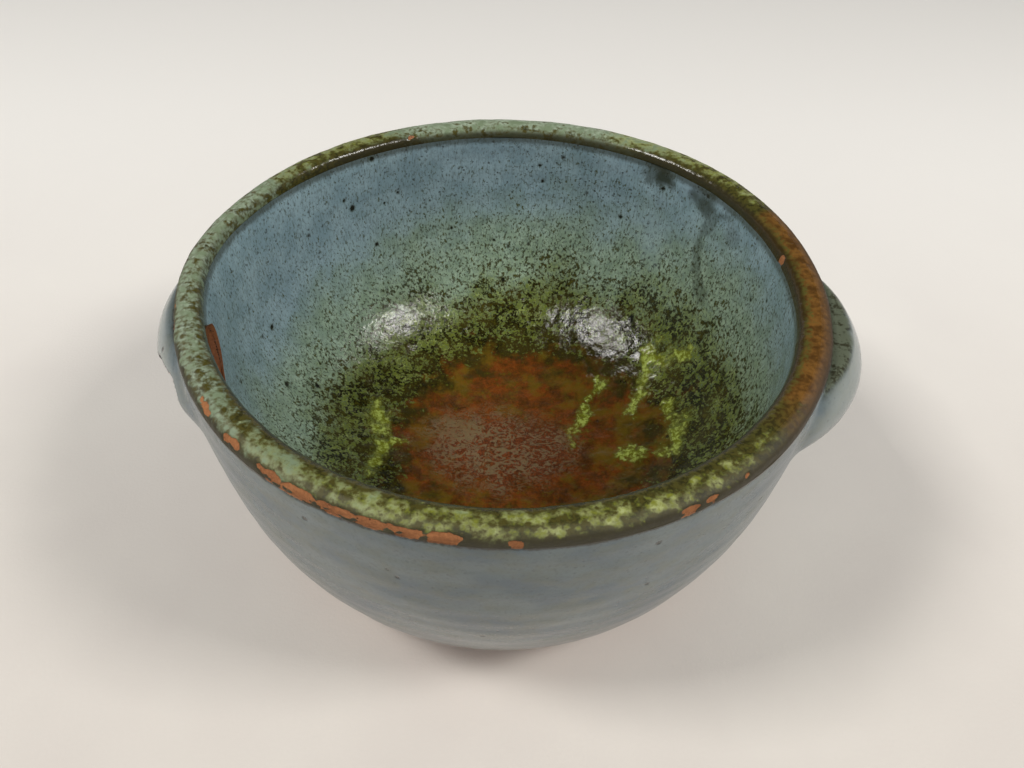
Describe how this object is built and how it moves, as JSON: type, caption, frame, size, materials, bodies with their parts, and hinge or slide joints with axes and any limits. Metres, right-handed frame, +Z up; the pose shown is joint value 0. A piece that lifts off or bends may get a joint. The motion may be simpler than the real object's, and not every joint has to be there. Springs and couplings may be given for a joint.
{
  "type": "yarn bowl",
  "caption": "Round thrown stoneware bowl with a lug on either side under the lip and a slanted hole that feeds yarn out through the wall.",
  "frame": {"origin": "centre of the foot ring's resting face, on the bowl's axis", "axes": "+Z up along the bowl's axis, +X towards the larger lug (11 degrees short of its middle), +Y away from the yarn hole's side"},
  "size_m": [0.1643, 0.15, 0.082],
  "materials": {
    "clay": "bare fired iron-bearing stoneware, matte",
    "liner_glaze": "satin-gloss breaking glaze, blue-grey above to speckled olive and rust on the floor",
    "coat_glaze": "satin-gloss grey-blue with faint throwing rings",
    "rim_glaze": "glossy pale sage to yellow-green, breaking brown at its edges"
  },
  "bodies": {
    "root": {"thrown_wall": "clay", "thrown_base": "clay", "foot_ring": "clay", "right_lug": "clay", "left_lug": "clay", "liner_glaze": "liner_glaze", "outer_glaze": "coat_glaze", "rim_glaze": "rim_glaze", "right_lug_glaze": "coat_glaze", "left_lug_glaze": "coat_glaze"}
  },
  "joints": []
}
